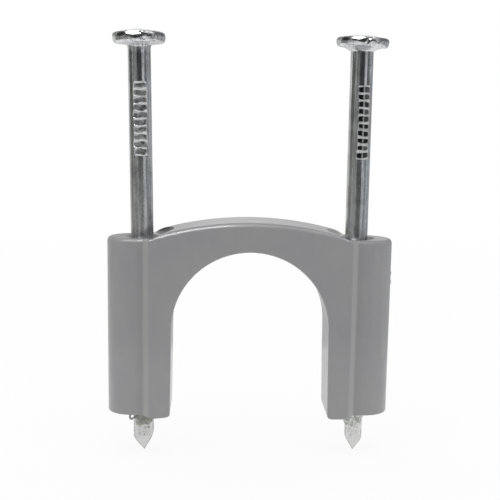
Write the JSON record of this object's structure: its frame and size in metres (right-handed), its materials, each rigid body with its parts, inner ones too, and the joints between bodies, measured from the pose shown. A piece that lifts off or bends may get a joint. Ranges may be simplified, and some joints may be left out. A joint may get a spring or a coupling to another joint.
{
  "type": "cable strap",
  "caption": "Moulded grey plastic strap whose arch holds a round cable against a wall, with zinc-plated nails already standing in its bosses, ready to be driven.",
  "frame": {"origin": "on the wall plane the feet stand on, midway between the nail axes and midway through the strap's depth", "axes": "+Z away from the wall, against the direction the nails are driven; +Y along the cable; +X across the cable, from the left nail to the right nail"},
  "size_m": [0.035, 0.007, 0.0517],
  "materials": {
    "moulded_plastic": "grey injection-moulded polyethylene, even satin skin",
    "zinc_steel": "bright zinc plating over drawn steel wire"
  },
  "bodies": {
    "strap": {"strap": "moulded_plastic"},
    "nail_left": {"nail_left": "zinc_steel"},
    "nail_right": {"nail_right": "zinc_steel"}
  },
  "joints": [
    {"name": "nail_left_drive", "type": "slide", "parent": "strap", "child": "nail_left", "axis": [0.014, 0, -0.9999], "range_m": [0, 0.0228]},
    {"name": "nail_right_drive", "type": "slide", "parent": "strap", "child": "nail_right", "axis": [0, 0, -1], "range_m": [0, 0.0228]}
  ]
}
